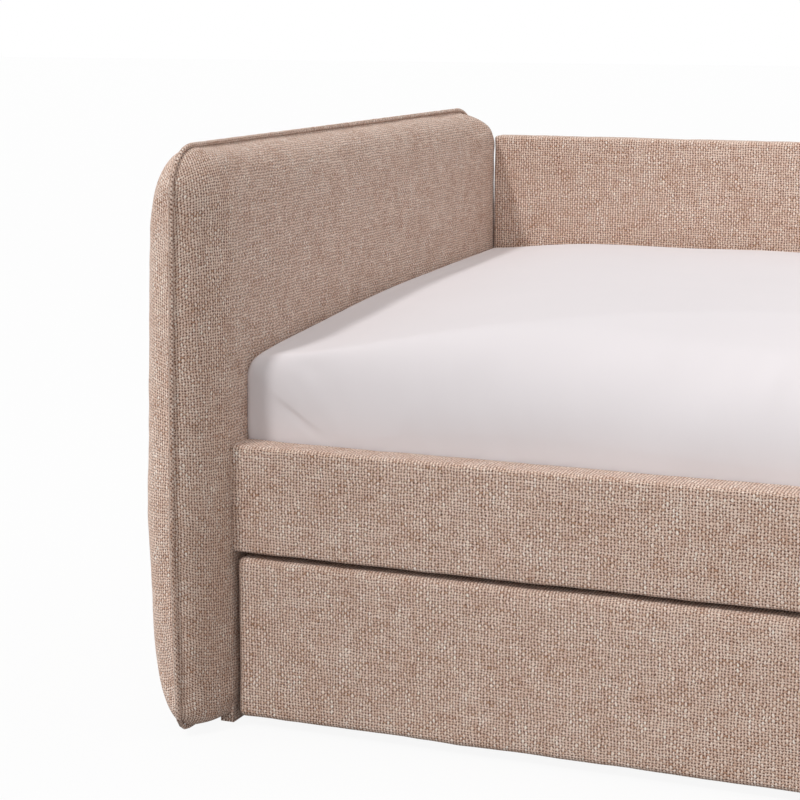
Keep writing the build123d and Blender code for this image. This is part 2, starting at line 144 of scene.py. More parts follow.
# Linear colours
TWEED_MIDDLE = (0.700, 0.500, 0.400)
TWEED_LIGHT = (0.820, 0.650, 0.550)
TWEED_CREAM = (0.940, 0.850, 0.770)
TWEED_BROWN = (0.430, 0.235, 0.145)
# Painted shade in the gaps between the yarns, where the weave dips
TWEED_GAP_SHADE = (0.120, 0.048, 0.026)
COTTON = (0.735, 0.692, 0.705)
TICKING = (0.750, 0.730, 0.700)
PINE = (0.640, 0.430, 0.230)
PINE_DARK = (0.420, 0.240, 0.110)
HARDBOARD = (0.230, 0.120, 0.060)
TAPE = (0.700, 0.690, 0.640)
BLACK_COAT = (0.012, 0.012, 0.013)
ZINC = (0.560, 0.570, 0.590)
NYLON = (0.016, 0.016, 0.018)
TREAD = (0.090, 0.090, 0.092)
GLIDE = (0.040, 0.030, 0.025)

# Studio: far lamps by strength, width in degrees and direction of travel
LAMPS = (
    ("key_lamp", 1.45, 6, (0.360, 0.680, -1.0)),
    ("left_lamp", 1.35, 25, (0.970, 0.180, -0.15)),
    ("front_lamp", 0.40, 60, (-0.45, 0.90, -0.35)),
)
# Soft box hung over the bed: watts, side in metres and place
SOFT_BOX = (24.0, 2.3, (0.1, 0.35, 3.5))
WORLD_STRENGTH = 0.50
FLOOR_GREY = (0.30, 0.30, 0.30)
FLOOR_GLOW = 1.14
FLOOR_GLOW_SHARE = 0.80


# Node graphs
class Graph:
    """Short calls for building the nodes of one material, or of the world."""

    def __init__(self, owner):
        owner.use_nodes = True
        self.owner = owner
        self.tree = owner.node_tree
        self.shader = self.tree.nodes.get("Principled BSDF") or self.tree.nodes["Background"]

    def put(self, socket, value):
        """A link from another socket, or a plain value."""
        if isinstance(value, bpy.types.NodeSocket):
            self.tree.links.new(value, socket)
        elif isinstance(value, tuple) and len(value) == 3 and len(socket.default_value) == 4:
            socket.default_value = (*value, 1.0)
        else:
            socket.default_value = value

    def math(self, operation, *values):
        node = self.tree.nodes.new("ShaderNodeMath")
        node.operation = operation
        for socket, value in zip(node.inputs, values):
            self.put(socket, value)
        return node.outputs[0]

    def vector(self, x=0.0, y=0.0, z=0.0):
        node = self.tree.nodes.new("ShaderNodeCombineXYZ")
        for socket, value in zip(node.inputs, (x, y, z)):
            self.put(socket, value)
        return node.outputs[0]

    def split(self, vector):
        node = self.tree.nodes.new("ShaderNodeSeparateXYZ")
        self.put(node.inputs[0], vector)
        return node.outputs

    def noise(self, vector, scale, detail=2.0, roughness=0.5, dimensions="3D"):
        node = self.tree.nodes.new("ShaderNodeTexNoise")
        node.noise_dimensions = dimensions
        self.put(node.inputs["Vector"], vector)
        self.put(node.inputs["Scale"], scale)
        self.put(node.inputs["Detail"], detail)
        self.put(node.inputs["Roughness"], roughness)
        return node.outputs["Fac"]

    def mix(self, share, low, high):
        node = self.tree.nodes.new("ShaderNodeMix")
        node.data_type = "RGBA"
        for number, value in ((0, share), (6, low), (7, high)):
            self.put(node.inputs[number], value)
        return node.outputs[2]

    def ramp(self, share, *stops):
        node = self.tree.nodes.new("ShaderNodeValToRGB")
        elements = node.color_ramp.elements
        while len(elements) < len(stops):
            elements.new(0.5)
        for element, (place, colour) in zip(elements, stops):
            element.position = place
            element.color = (*colour, 1.0)
        self.put(node.inputs[0], share)
        return node.outputs[0]

    def bump(self, height, distance, strength):
        node = self.tree.nodes.new("ShaderNodeBump")
        self.put(node.inputs["Strength"], strength)
        self.put(node.inputs["Distance"], distance)
        self.put(node.inputs["Height"], height)
        return node.outputs[0]

    def place(self, kind="Object"):
        """Object coordinates, or the piece's own UV map, in metres."""
        return self.tree.nodes.new("ShaderNodeTexCoord").outputs[kind]

    def seen(self):
        """1 for what the camera sees, straight or in a gloss or through glass, and 0 for light."""
        paths = self.tree.nodes.new("ShaderNodeLightPath").outputs
        mirrored = self.math("MAXIMUM", paths["Is Glossy Ray"], paths["Is Transmission Ray"])
        return self.math("MAXIMUM", paths["Is Camera Ray"], mirrored)

    def finish(self, colour, roughness, normal=None, **others):
        self.put(self.shader.inputs["Base Color"], colour)
        self.put(self.shader.inputs["Roughness"], roughness)
        if normal is not None:
            self.put(self.shader.inputs["Normal"], normal)
        for name, value in others.items():
            self.put(self.shader.inputs[name.replace("_", " ")], value)
        return self.owner


# Materials
def tweed_material(name, on_uv=True, turn=0.0):
    """Plain weave: a yarn's height is |sin| across it, more where it lies over the other yarns.

    The higher of warp and weft shows, in that yarn's own tone. Painted shade darkens the low gaps
    at the corners, where the yarns dip.
    """
    g = Graph(bpy.data.materials.new(name))
    body = g.place("Object")
    if on_uv:
        x, y, _ = g.split(g.place("UV"))
    else:
        along, across, up = g.split(body)
        x, y = g.math("ADD", along, across), up
    if turn:
        cos, sin = math.cos(turn), math.sin(turn)
        x, y = (
            g.math("SUBTRACT", g.math("MULTIPLY", x, cos), g.math("MULTIPLY", y, sin)),
            g.math("ADD", g.math("MULTIPLY", x, sin), g.math("MULTIPLY", y, cos)),
        )
    drifts = []
    for slow, quick in WANDER_SCALES:
        drift = g.math("MULTIPLY", g.math("SUBTRACT", g.noise(body, slow, 2.0), 0.5), WANDER)
        jitter = g.math("MULTIPLY", g.math("SUBTRACT", g.noise(body, quick, 1.0), 0.5), JITTER)
        drifts.append(g.math("ADD", drift, jitter))
    warp = g.math("DIVIDE", g.math("ADD", x, drifts[0]), WARP_PITCH)
    weft = g.math("DIVIDE", g.math("ADD", y, drifts[1]), WEFT_PITCH)
    warp_wave = g.math("SINE", g.math("MULTIPLY", warp, math.pi))
    weft_wave = g.math("SINE", g.math("MULTIPLY", weft, math.pi))
    over = g.math("MULTIPLY", g.math("MULTIPLY", warp_wave, weft_wave), YARN_RISE)
    warp_height = g.math("ADD", g.math("ABSOLUTE", warp_wave), over)
    weft_height = g.math("SUBTRACT", g.math("ABSOLUTE", weft_wave), over)
    warp_top = g.math("GREATER_THAN", warp_height, weft_height)
    height = g.math("MAXIMUM", warp_height, weft_height)
    warp_number, weft_number = g.math("FLOOR", warp), g.math("FLOOR", weft)
    warp_place = g.vector(g.math("MULTIPLY", warp_number, 7.31), g.math("MULTIPLY", weft, 0.13))
    weft_place = g.vector(
        g.math("MULTIPLY", warp, 0.13), g.math("MULTIPLY_ADD", weft_number, 9.17, 41.0)
    )
    yarn = g.noise(g.mix(warp_top, weft_place, warp_place), 1.0, 3.0, 0.7, "2D")
    fibre = g.noise(body, FIBRE_SCALE, 2.0)
    blotch = g.noise(body, BLOTCH_SCALE, 3.0, 0.6)
    crossing_place = g.vector(
        g.math("MULTIPLY", warp_number, 5.17), g.math("MULTIPLY", weft_number, 3.91)
    )
    crossing = g.noise(crossing_place, 1.0, 0.0, 0.5, "2D")
    tone = g.math("MULTIPLY_ADD", warp_top, 0.14, 0.43)
    for field, share in ((yarn, YARN_SHARE), (blotch, BLOTCH_SHARE), (fibre, FIBRE_SHARE)):
        tone = g.math("ADD", tone, g.math("MULTIPLY", g.math("SUBTRACT", field, 0.5), share))
    colour = g.ramp(
        tone, (0.28, TWEED_BROWN), (0.46, TWEED_MIDDLE), (0.60, TWEED_LIGHT), (0.74, TWEED_CREAM)
    )
    # Painted shade: where the weave dips between the yarns it turns to the dark gap colour, deeper
    # at random crossings
    unshaded_share = g.math("MULTIPLY_ADD", height, 2.10, -1.22)
    unshaded_share = g.math("ADD", unshaded_share, g.math("MULTIPLY", crossing, 0.40))
    unshaded_share = g.math("MINIMUM", g.math("MAXIMUM", unshaded_share, 0.0), 1.0)
    colour = g.mix(unshaded_share, TWEED_GAP_SHADE, colour)
    relief = g.math("MULTIPLY_ADD", fibre, 0.35, height)
    normal = g.bump(relief, WEAVE_RELIEF, 0.7)
    return g.finish(colour, 0.92, normal, Sheen_Weight=0.12, Sheen_Roughness=0.5)


def cotton_material(name, colour):
    """Close plain sheeting: a thread grid far finer than a pixel, and a soft nap."""
    g = Graph(bpy.data.materials.new(name))
    body = g.place("Object")
    threads = g.noise(body, 1800.0, 2.0)
    cloud = g.noise(body, 6.0, 2.0)
    shade = g.mix(cloud, tuple(0.965 * c for c in colour), colour)
    return g.finish(shade, 0.85, g.bump(threads, 0.0002, 0.35), Sheen_Weight=0.1)


def wood_material(name, along):
    """Planed pine: rings stretched along the grain, with darker late wood and a fine pore."""
    g = Graph(bpy.data.materials.new(name))
    stretched = [
        axis if number == along else g.math("MULTIPLY", axis, 14.0)
        for number, axis in enumerate(g.split(g.place("Object")))
    ]
    grain = g.noise(g.vector(*stretched), 3.0, 6.0, 0.62)
    fine = g.noise(g.vector(*stretched), 40.0, 3.0, 0.6)
    share = g.math("ADD", grain, g.math("MULTIPLY", g.math("SUBTRACT", fine, 0.5), 0.25))
    colour = g.ramp(share, (0.34, PINE_DARK), (0.50, PINE), (0.72, tuple(1.12 * c for c in PINE)))
    return g.finish(colour, 0.62, g.bump(share, 0.0006, 0.5))


def plain_material(name, colour, roughness, grain, depth, metallic=0.0):
    """One finish with a fine grain in its colour and surface."""
    g = Graph(bpy.data.materials.new(name))
    speck = g.noise(g.place("Object"), grain, 3.0)
    shade = g.mix(speck, tuple(0.82 * c for c in colour), tuple(1.12 * c for c in colour))
    rough = g.math("MULTIPLY_ADD", speck, 0.16, roughness - 0.08)
    return g.finish(shade, rough, g.bump(speck, depth, 0.5), Metallic=metallic)


TWEED = tweed_material("rose_beige_tweed")
TWEED_BIAS = tweed_material("tweed_cut_on_the_bias", turn=math.radians(42))
TWEED_BOARD = tweed_material("tweed_round_side_boards", on_uv=False)
SHEETING = cotton_material("white_cotton_sheeting", COTTON)
KNIT = cotton_material("mattress_ticking_knit", TICKING)
WOOD = {axis: wood_material(f"planed_pine_{'xyz'[axis]}", axis) for axis in range(3)}
FINISHES = {
    "hardboard": plain_material("brown_hardboard", HARDBOARD, 0.55, 260.0, 0.0002),
    "webbing": plain_material("woven_tape", TAPE, 0.9, 900.0, 0.0003),
    "painted_steel": plain_material("black_powder_coat", BLACK_COAT, 0.42, 1400.0, 0.0001),
    "zinc_steel": plain_material("zinc_plated_steel", ZINC, 0.32, 700.0, 0.00005, 1.0),
    "wheel_nylon": plain_material("moulded_black_nylon", NYLON, 0.45, 500.0, 0.0001),
    "wheel_tread": plain_material("grey_soft_tread", TREAD, 0.7, 700.0, 0.0002),
    "glide_plastic": plain_material("brown_glide_plastic", GLIDE, 0.5, 500.0, 0.0001),
}


# Mesh making
def soft_noise(points, wavelength, seed, waves=10):
    """Smooth random field, about -1 to 1: plane waves of random directions and phases, summed."""
    rng = np.random.default_rng(seed)
    directions = rng.normal(size=(waves, points.shape[1]))
    directions /= np.linalg.norm(directions, axis=1, keepdims=True)
    lengths = wavelength * rng.uniform(0.7, 1.5, waves)
    phases = rng.uniform(0, 2 * math.pi, waves)
    turns = points @ (directions / lengths[:, None]).T * 2 * math.pi + phases
    return np.sin(turns).sum(1) / math.sqrt(waves)


def new_piece(name, points, faces, uv, material, body):
    """A mesh object at the origin from arrays of points, quads and one UV per point."""
    mesh = bpy.data.meshes.new(name)
    mesh.from_pydata(points.tolist(), [], faces.tolist())
    mesh.update()
    layer = mesh.uv_layers.new(name="weave")
    corners = np.empty(len(mesh.loops), dtype=np.int32)
    mesh.loops.foreach_get("vertex_index", corners)
    layer.data.foreach_set("uv", uv[corners].astype(np.float32).ravel())
    mesh.polygons.foreach_set("use_smooth", np.ones(len(mesh.polygons), dtype=bool))
    mesh.materials.append(material)
    piece = bpy.data.objects.new(name, mesh)
    bpy.context.scene.collection.objects.link(piece)
    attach(piece, body)
    return piece


def get_points(mesh):
    flat = np.empty(len(mesh.vertices) * 3)
    mesh.vertices.foreach_get("co", flat)
    return flat.reshape(-1, 3)


def set_points(mesh, points):
    mesh.vertices.foreach_set("co", points.astype(np.float32).ravel())
    mesh.update()


def point_normals(mesh):
    flat = np.empty(len(mesh.vertices) * 3, dtype=np.float32)
    mesh.vertex_normals.foreach_get("vector", flat)
    return flat.reshape(-1, 3).astype(float)


def corner_arc(before, corner, after, radius, count):
    """Points of the arc that rounds a corner, tangent to both its sides."""
    to_before = (before - corner) / np.linalg.norm(before - corner)
    to_after = (after - corner) / np.linalg.norm(after - corner)
    half = math.acos(np.clip(to_before @ to_after, -1, 1)) / 2
    middle = to_before + to_after
    centre = corner + middle / np.linalg.norm(middle) * radius / math.sin(half)
    start = corner + to_before * radius / math.tan(half) - centre
    side = corner + to_after * radius / math.tan(half) - centre
    angle = math.acos(np.clip(start @ side / radius**2, -1, 1))
    t = np.linspace(0, 1, count)[:, None]
    return centre + (np.sin((1 - t) * angle) * start + np.sin(t * angle) * side) / math.sin(angle)


def rounded_ring(corners, radii, square, counts):
    """Closed outline of rounded corners, cut at the middle of each corner named in square.

    Each stretch between two such cuts is spaced evenly by its own length, so that rings of other
    sizes match it point by point.
    """
    corners = [np.array(corner, dtype=float) for corner in corners]
    count = len(corners)
    arcs = [
        corner_arc(corners[i - 1], corners[i], corners[(i + 1) % count], radii[i], 33)
        for i in range(count)
    ]
    ring = []
    for k, first in enumerate(square):
        last = square[(k + 1) % len(square)]
        run = [arcs[first][16:]]
        i = (first + 1) % count
        while i != last:
            run.append(arcs[i])
            i = (i + 1) % count
        run.append(arcs[last][:17])
        line = np.concatenate(run)
        steps = np.linalg.norm(np.diff(line, axis=0), axis=1)
        along = np.concatenate([[0], np.cumsum(steps)])
        places = np.linspace(0, along[-1], counts[k % 2] + 1)[:-1]
        ring.append(np.stack([np.interp(places, along, line[:, axis]) for axis in (0, 1)], 1))
    return np.concatenate(ring)


def patch_inside(ring, long_count, short_count):
    """Coons patch: inner grid points blended from the four sides of a closed ring."""
    n, m = long_count, short_count
    closed = np.concatenate([ring, ring[:1]])
    low, right = closed[: n + 1], closed[n : n + m + 1]
    high, left = closed[n + m : 2 * n + m + 1][::-1], closed[2 * n + m : 2 * n + 2 * m + 1][::-1]
    u = np.linspace(0, 1, n + 1)[:, None, None]
    v = np.linspace(0, 1, m + 1)[None, :, None]
    sides = (1 - v) * low[:, None] + v * high[:, None] + (1 - u) * left[None] + u * right[None]
    low_ends = (1 - u) * low[0] + u * low[-1]
    high_ends = (1 - u) * high[0] + u * high[-1]
    return sides - ((1 - v) * low_ends + v * high_ends)


def ring_form(rings, long_count, short_count, close_start, top=None):
    """Quads between following rings, the last filled by a patch, and the first too if asked."""
    n, m = long_count, short_count
    size = 2 * (n + m)
    points = [np.concatenate(rings)]
    total = size * len(rings)
    index = np.arange(size)
    after = (index + 1) % size
    band = np.stack([index, after, after + size, index + size], 1)
    faces = [k * size + band for k in range(len(rings) - 1)]
    ends = [(len(rings) - 1, False)] + ([(0, True)] if close_start else [])
    for k, turned in ends:
        grid = patch_inside(rings[k], n, m) if turned or top is None else top
        numbers = np.empty((n + 1, m + 1), dtype=int)
        border = k * size + np.arange(size + 1) % size
        border[-1] = k * size
        numbers[:, 0] = border[: n + 1]
        numbers[-1, :] = border[n : n + m + 1]
        numbers[:, -1] = border[n + m : 2 * n + m + 1][::-1]
        numbers[0, :] = border[2 * n + m : 2 * n + 2 * m + 1][::-1]
        inner = grid[1:-1, 1:-1].reshape(-1, grid.shape[-1])
        numbers[1:-1, 1:-1] = total + np.arange(len(inner)).reshape(n - 1, m - 1)
        points.append(inner)
        total += len(inner)
        quads = np.stack(
            [numbers[:-1, :-1], numbers[1:, :-1], numbers[1:, 1:], numbers[:-1, 1:]], -1
        ).reshape(-1, 4)
        faces.append(quads[:, ::-1] if turned else quads)
    return np.concatenate(points), np.concatenate(faces)


def relax_under_pressure(piece, held):
    """Cloth swollen by a little inner pressure, with the held points pinned and a capped swell."""
    before = get_points(piece.data)
    group = piece.vertex_groups.new(name="held")
    group.add(np.nonzero(held)[0].tolist(), 1.0, "REPLACE")
    cloth = piece.modifiers.new("cloth", "CLOTH")
    settings = cloth.settings
    settings.quality = 4
    settings.mass = 0.25
    settings.tension_stiffness = 18
    settings.compression_stiffness = 18
    settings.shear_stiffness = 6
    settings.bending_stiffness = 0.8
    settings.use_pressure = True
    settings.uniform_pressure_force = PAD_PRESSURE
    settings.vertex_group_mass = group.name
    settings.effector_weights.gravity = 0
    cloth.collision_settings.use_collision = False
    cloth.point_cache.frame_start = 1
    cloth.point_cache.frame_end = SETTLE_FRAMES
    scene = bpy.context.scene
    for number in range(1, SETTLE_FRAMES + 1):
        scene.frame_set(number)
    graph = bpy.context.evaluated_depsgraph_get()
    moved = get_points(piece.evaluated_get(graph).data)
    piece.modifiers.remove(cloth)
    scene.frame_set(1)
    step = moved - before
    length = np.linalg.norm(step, axis=1, keepdims=True)
    step *= np.minimum(1, PAD_SWELL / np.maximum(length, 1e-9))
    set_points(piece.data, before + step)
    piece.vertex_groups.clear()


# Arms
pad_low, pad_high = (np.array(corner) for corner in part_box("arm_left_inner_pad"))
outer_low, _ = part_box("arm_left_outer_pad")
welt_low, welt_high = (np.array(corner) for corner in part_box("arm_left_welt"))
half_arm = welt_high[1] - WELT_RADIUS
arm_top = welt_high[2] - WELT_RADIUS
arm_bottom = welt_low[2] + WELT_RADIUS
welt_x = (welt_low[0] + welt_high[0]) / 2
inner_depth = pad_high[0] - welt_x
outer_depth = outer_low[0] - welt_x
LONG_COUNT = int((2 * half_arm) / GRID_STEP)
SHORT_COUNT = int((arm_top - arm_bottom) / GRID_STEP)


def arm_ring(draws, rounds):
    """Arm outline in Y and Z, drawn in by the front, rear, top and bottom draws.

    The rounds are those of the front top, the rear top and both bottom corners.
    """
    front_draw, rear_draw, top_draw, bottom_draw = draws
    front_round, rear_round, bottom_round = rounds
    front, rear = front_draw - half_arm, half_arm - rear_draw
    low, high = arm_bottom + bottom_draw, arm_top - top_draw
    belly = max(BELLY_HEIGHT, low + BELLY_HEIGHT / 2)
    corners = [
        (front + FOOT_TUCK, low), (rear - FOOT_TUCK, low), (rear, belly),
        (rear - REAR_LEAN, high), (front + FRONT_LEAN, high), (front, belly),
    ]
    radii = [bottom_round, bottom_round, BELLY_ROUND, rear_round, front_round, BELLY_ROUND]
    return rounded_ring(corners, radii, (0, 1, 3, 4), (LONG_COUNT, SHORT_COUNT))


def quarter_length(width, height, turn):
    """Length along a quarter ellipse from its face end to the given turn from the seam."""
    steps = np.linspace(turn, math.pi / 2, 40)
    speed = np.hypot(width * np.sin(steps), height * np.cos(steps))
    return float((speed[1:] + speed[:-1]).sum() / 2 * (steps[1] - steps[0]))


def arm_pad(name, depth, draws, face_rounds, node, mirror):
    """Crowned pad: rings go round quarter ellipses from the seam to the face, then a flat patch.

    At turn a from the seam a ring stands depth * sin(a) off the seam plane and is drawn in by
    draw * (1 - cos(a)) on each side. The cloth's own coordinates unroll the same arcs.
    """
    rings, cloth = [], []
    turns = np.concatenate([[0, 0.02, 0.05, 0.09], np.linspace(0.15, 1, 13)]) * math.pi / 2
    for turn in turns:
        share = 1 - math.cos(turn)
        tuck = SEAM_TUCK * math.exp(-abs(depth) * math.sin(turn) / SEAM_REACH)
        drawn = [draw * share + tuck for draw in draws]
        rounds = [
            seam + (face - seam) * share - tuck for seam, face in zip(SEAM_ROUNDS, face_rounds)
        ]
        ring = arm_ring(drawn, rounds)
        x = np.full((len(ring), 1), welt_x + depth * math.sin(turn))
        rings.append(np.hstack([x, ring]))
        unrolled = [draw - quarter_length(draw, abs(depth), turn) for draw in draws]
        cloth.append(arm_ring(unrolled, rounds))
    for inward in FACE_INSETS:
        drawn = [draw + inward for draw in draws]
        ring = arm_ring(drawn, [0.9 * face for face in face_rounds])
        rings.append(np.hstack([np.full((len(ring), 1), welt_x + depth), ring]))
        cloth.append(ring)
    both = [np.hstack(pair) for pair in zip(rings, cloth)]
    points, faces = ring_form(both, LONG_COUNT, SHORT_COUNT, True)
    points, uv = points[:, :3], points[:, 3:]
    if depth < 0:
        faces = faces[:, ::-1]
    else:
        away = (points[:, 1:] - HEAD_PLACE) / HEAD_SPREAD
        past_seam = points[:, 0] > welt_x + WELT_RADIUS
        points[:, 0] += HEAD_BULGE * np.exp(-(away**2).sum(1)) * past_seam
    if mirror:
        points = points * (-1, 1, 1)
        faces = faces[:, ::-1]
    piece = new_piece(name, points, faces, uv, TWEED, "daybed")
    held = np.zeros(len(points), dtype=bool)
    size = 2 * (LONG_COUNT + SHORT_COUNT)
    held[: 2 * size] = True
    inner_patch = (LONG_COUNT - 1) * (SHORT_COUNT - 1)
    held[len(points) - inner_patch :] = True
    relax_under_pressure(piece, held)
    finish_cloth(piece, held)
    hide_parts(node)
    return piece


def finish_cloth(piece, held):
    """Slight unevenness along the normals, then one level of subdivision."""
    points = get_points(piece.data)
    normals = point_normals(piece.data)
    broad, fine = PAD_UNEVEN
    bumps = broad * soft_noise(points, 0.16, 3) + fine * soft_noise(points, 0.045, 4)
    bumps = np.where(held, 0, bumps)
    set_points(piece.data, points + normals * bumps[:, None])
    smooth = piece.modifiers.new("smooth", "SUBSURF")
    smooth.levels = smooth.render_levels = 1


def welt(name, node, mirror):
    """Piping: a round section carried along the seam outline, with a slightly uneven thickness."""
    ring = arm_ring((0, 0, 0, 0), SEAM_ROUNDS)
    count, sides = len(ring), WELT_SIDES
    tangent = np.roll(ring, -1, 0) - np.roll(ring, 1, 0)
    tangent /= np.linalg.norm(tangent, axis=1, keepdims=True)
    outward = np.stack([tangent[:, 1], -tangent[:, 0]], 1)
    along = np.concatenate([[0], np.cumsum(np.linalg.norm(np.diff(ring, axis=0), axis=1))])
    radius = PIPING_RADIUS * (1 + 0.05 * soft_noise(ring, 0.03, 8))
    angle = np.linspace(0, 2 * math.pi, sides, endpoint=False)
    x = welt_x + radius[:, None] * np.sin(angle)
    y = ring[:, :1] + outward[:, :1] * radius[:, None] * np.cos(angle)
    z = ring[:, 1:] + outward[:, 1:] * radius[:, None] * np.cos(angle)
    points = np.stack([x, y, z], -1).reshape(-1, 3)
    uv = np.stack([np.repeat(along, sides), np.tile(angle * PIPING_RADIUS, count)], 1)
    i = np.arange(count)[:, None] * sides + np.arange(sides)
    j = np.roll(i, -1, 0)
    faces = np.stack([i, j, np.roll(j, -1, 1), np.roll(i, -1, 1)], -1).reshape(-1, 4)
    if mirror:
        points = points * (-1, 1, 1)
        faces = faces[:, ::-1]
    piece = new_piece(name, points, faces, uv, TWEED_BIAS, "daybed")
    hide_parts(node)
    return piece


for side, mirror in (("left", False), ("right", True)):
    arm_pad(
        f"inner_pad_{side}", inner_depth, INNER_DRAWS, INNER_FACE_ROUNDS,
        f"arm_{side}_inner_pad", mirror,
    )
    arm_pad(
        f"outer_pad_{side}", outer_depth, OUTER_DRAWS, OUTER_FACE_ROUNDS,
        f"arm_{side}_outer_pad", mirror,
    )
    welt(f"welt_{side}", f"arm_{side}_welt", mirror)


# Upholstered boards
def edge_stations(low, high, radius):
    """Places along one side of a box, close together over the rounded edges."""
    turn = np.tan(np.linspace(math.pi / 4, 0, 5))
    start = low + radius * (1 - turn)
    count = max(2, int((high - low) / BOARD_STEP))
    middle = np.linspace(low + radius, high - radius, count + 1)
    return np.concatenate([start[:-1], middle, (high - radius * (1 - turn))[::-1][1:]])


def upholstered_board(
    name, node, radius, crown, seed, bare_back=0.0, short=(0.0, 0.0), body="daybed"
):
    """Box with rounded edges: a grid point q goes to c + r (q - c) / |q - c|, c clamped inside.

    A bare back lies that far inside the board, where its timber core shows. The cover is drawn in
    from its box by short at the bottom and the top, which widens the gap over the trundle.
    """
    low, high = (np.array(corner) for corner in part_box(node))
    high[1] -= bare_back
    low[2], high[2] = low[2] + short[0], high[2] - short[1]
    stations = [edge_stations(low[a], high[a], radius) for a in range(3)]
    points, faces, cloth, total = [], [], [], 0
    for axis in range(3):
        a, b = [other for other in range(3) if other != axis]
        for end, place in ((0, low[axis]), (1, high[axis])):
            u, v = np.meshgrid(stations[a], stations[b], indexing="ij")
            grid = np.zeros((*u.shape, 3))
            grid[..., a], grid[..., b], grid[..., axis] = u, v, place
            numbers = total + np.arange(u.size).reshape(u.shape)
            quads = np.stack(
                [numbers[:-1, :-1], numbers[1:, :-1], numbers[1:, 1:], numbers[:-1, 1:]], -1
            ).reshape(-1, 4)
            if (end == 0) != (axis == 1):
                quads = quads[:, ::-1]
            depth = grid[..., 1] - low[1]
            width, rise = grid[..., 0], grid[..., 2]
            if axis == 2:
                rise = rise + (depth if end else -depth)
            if axis == 0:
                width = width + (depth if end else -depth)
            points.append(grid.reshape(-1, 3))
            cloth.append(np.stack([width, rise], -1).reshape(-1, 2))
            faces.append(quads)
            total += u.size
    points, cloth, faces = np.concatenate(points), np.concatenate(cloth), np.concatenate(faces)
    clamped = np.clip(points, low + radius, high - radius)
    away = points - clamped
    points = clamped + radius * away / np.linalg.norm(away, axis=1, keepdims=True)
    half, middle = (high - low) / 2, (high + low) / 2
    share = (points - middle) / half
    bulge = crown * (1 - share[:, 0] ** 8) * (1 - share[:, 2] ** 4)
    padded = (share[:, 1] < -0.5) | (bare_back == 0)
    points[:, 1] += np.sign(share[:, 1]) * bulge * (np.abs(share[:, 1]) > 0.5) * padded
    broad, fine = BOARD_UNEVEN
    uneven = broad * soft_noise(points, 0.12, seed) + fine * soft_noise(points, 0.04, seed + 1)
    points += away / np.linalg.norm(away, axis=1, keepdims=True) * uneven[:, None]
    piece = new_piece(name, points, faces, cloth, TWEED, body)
    join_doubles(piece)
    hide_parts(node)
    return piece


def join_doubles(piece):
    """Welds points that lie on each other, keeping the UVs of each face."""
    work = bmesh.new()
    work.from_mesh(piece.data)
    bmesh.ops.remove_doubles(work, verts=work.verts, dist=1e-5)
    bmesh.ops.recalc_face_normals(work, faces=work.faces)
    work.to_mesh(piece.data)
    work.free()


upholstered_board(
    "front_rail_padding", "front_rail_cover", 0.006, 0.0006, 21, BARE_BACK, (0.001, 0.0)
)
upholstered_board("back_panel_padding", "back_panel_cover", 0.006, 0.0010, 31)
upholstered_board(
    "trundle_front_padding", "trundle_front_cover", 0.009, 0.0006, 41, BARE_BACK, (0.0, 0.0015),
    "trundle",
)

# Mattress and fitted sheet
bed_low, bed_high = (np.array(corner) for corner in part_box("mattress"))


def rolled_places(low, high, start_roll, end_roll, count):
    """Places from low to high, and each edge's share of its drop.

    Over a rolled edge the place goes as 1 - cos and the drop as 1 - sin; between them it is even.
    """
    turn = np.linspace(0, math.pi / 2, ROLL_COUNT)
    rise = np.sin(turn)
    start, end = np.broadcast_arrays(
        low + start_roll * (1 - np.cos(turn)), (high - end_roll * (1 - np.cos(turn)))[::-1]
    )
    share = np.linspace(0, 1, count + 1)[1:-1]
    middle = start[..., -1:] + (end[..., :1] - start[..., -1:]) * share
    places = np.concatenate([start, middle, end], -1)
    level = np.zeros(count - 1 + ROLL_COUNT)
    start_drop = np.concatenate([1 - rise, level])
    return places, start_drop, np.concatenate([level, 1 - rise[::-1]])


